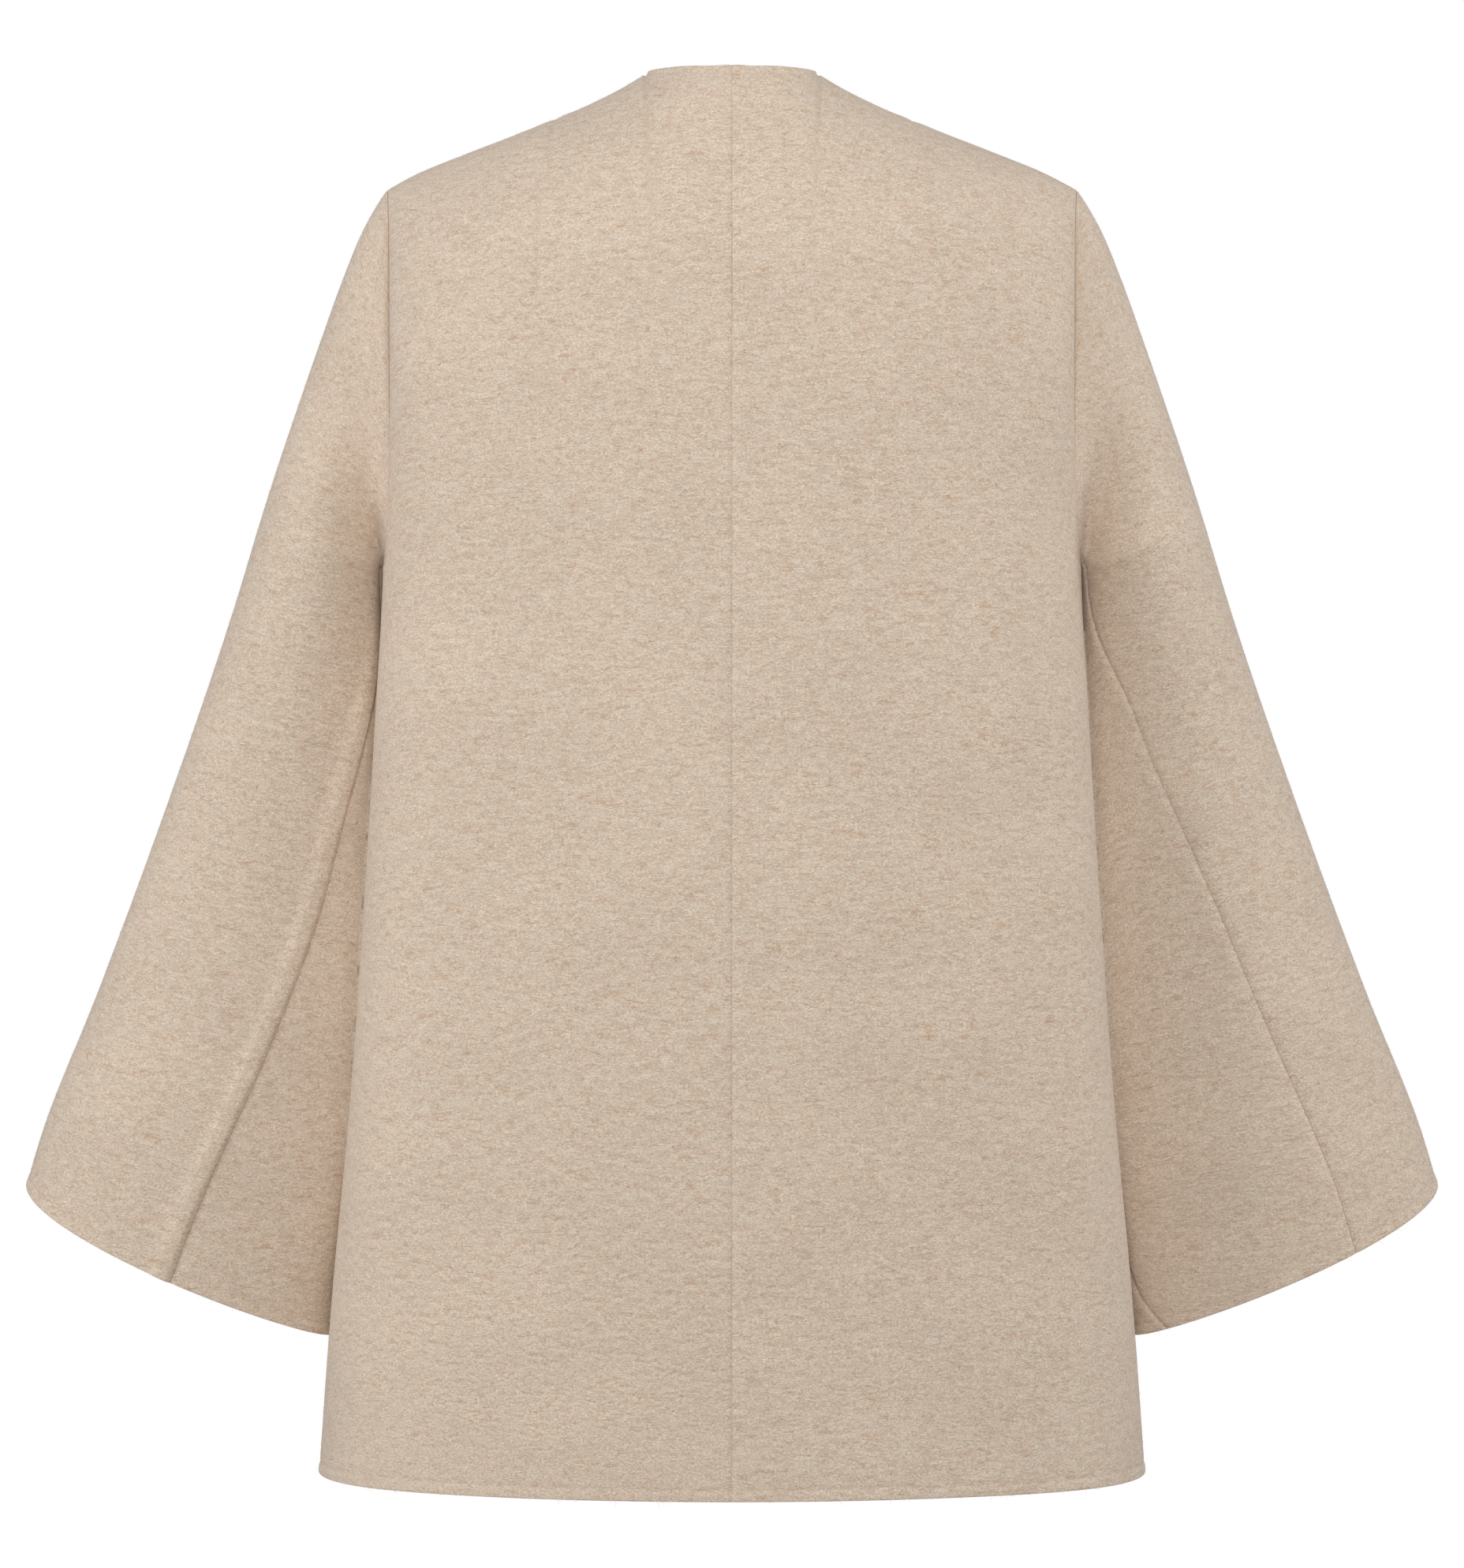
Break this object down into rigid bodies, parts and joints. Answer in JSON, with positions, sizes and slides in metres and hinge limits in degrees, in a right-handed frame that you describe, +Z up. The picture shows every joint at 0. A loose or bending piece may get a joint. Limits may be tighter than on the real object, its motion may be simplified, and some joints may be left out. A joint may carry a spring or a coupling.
{
  "type": "wool coat",
  "caption": "Collarless straight-cut wool coat with a round neckline and wide sleeves, filled out and hollow, open down the front.",
  "frame": {"origin": "middle of the neck, level with the tops of the shoulder seams, where a neck and shoulders carry the coat", "axes": "+Z up, -Y towards the coat's front, +X towards the coat's left side"},
  "size_m": [0.8236, 0.288, 0.8042],
  "materials": {
    "oatmeal_wool": "brushed melange wool, matt with a soft nap"
  },
  "bodies": {
    "root": {"back_left": "oatmeal_wool", "back_right": "oatmeal_wool", "front_left": "oatmeal_wool", "front_right": "oatmeal_wool", "sleeve_upper_left": "oatmeal_wool", "sleeve_upper_right": "oatmeal_wool", "sleeve_under_left": "oatmeal_wool", "sleeve_under_right": "oatmeal_wool"}
  },
  "joints": []
}
